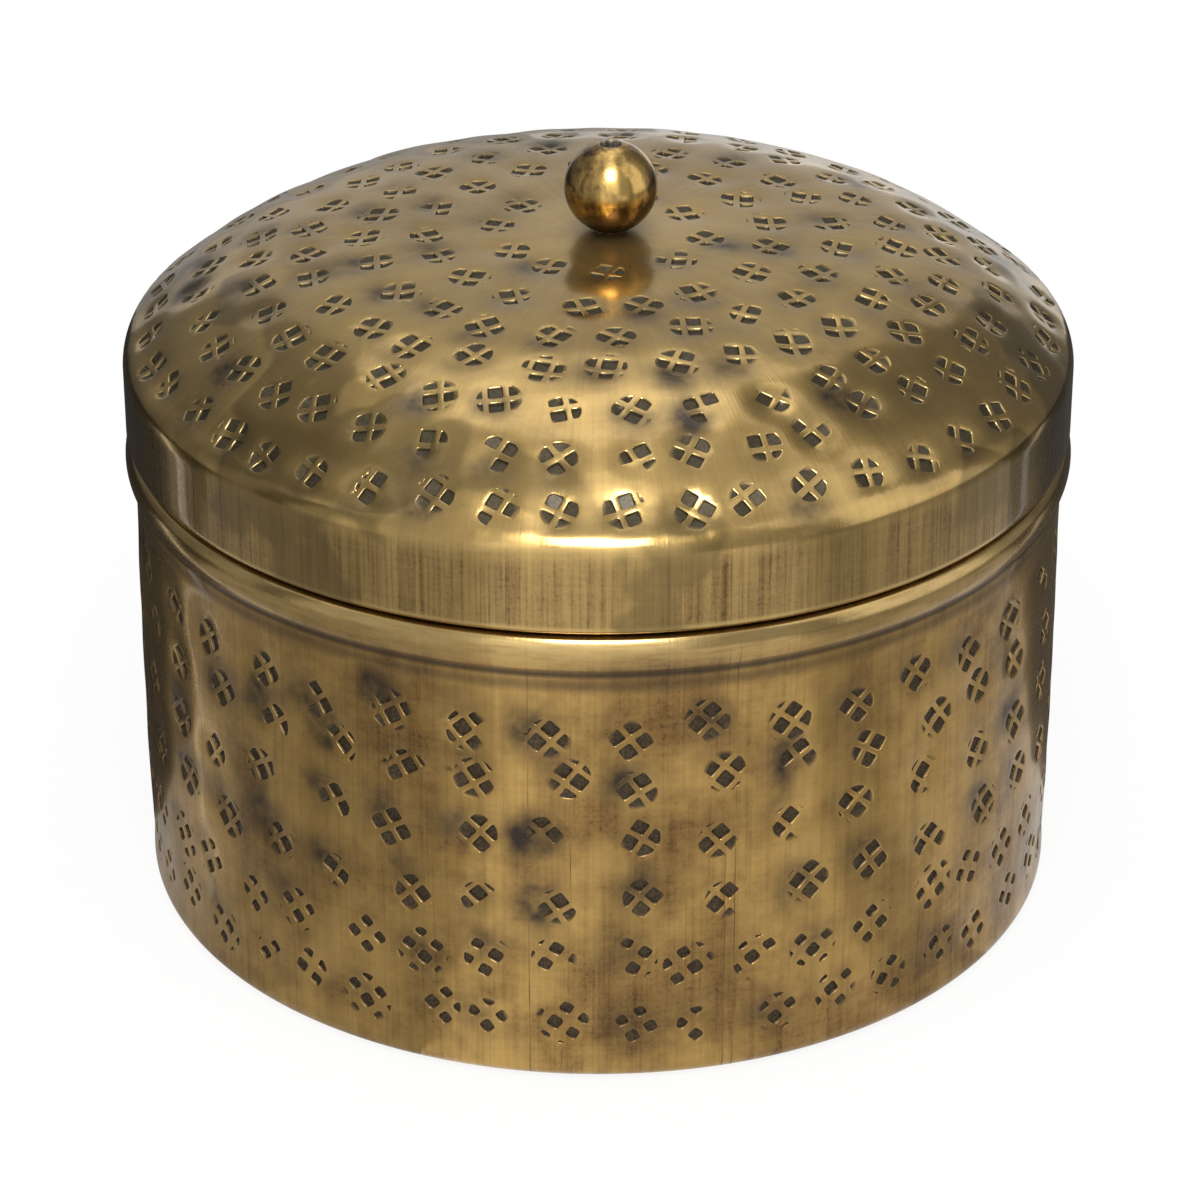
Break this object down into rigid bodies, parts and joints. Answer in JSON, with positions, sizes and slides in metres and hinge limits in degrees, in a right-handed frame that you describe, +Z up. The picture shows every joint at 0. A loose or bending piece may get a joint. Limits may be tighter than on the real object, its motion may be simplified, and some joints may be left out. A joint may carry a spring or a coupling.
{
  "type": "round metal box with lid",
  "caption": "Round drawn-brass box with a barrelled wall, a swaged bead, and a domed lift-off lid with a rounded shoulder, turned-in edge and ball knob.",
  "frame": {"origin": "centre of the flat underside", "axes": "+Z up along the body's axis, -Y towards the front of the picture, +X to its right"},
  "size_m": [0.1858, 0.1858, 0.1533],
  "materials": {
    "aged_brass": "hammered, brushed and antiqued",
    "polished_brass": "polished, lightly antiqued",
    "plated_screw": "dull nickel plate"
  },
  "bodies": {
    "box": {"box_body": "aged_brass"},
    "lid": {"lid": "aged_brass", "knob_ball": "polished_brass", "knob_screw": "plated_screw", "knob_washer": "plated_screw"}
  },
  "joints": [
    {"name": "lid_lift", "type": "slide", "parent": "box", "child": "lid", "axis": [0, 0, 1], "range_m": [0, 0.08]}
  ]
}
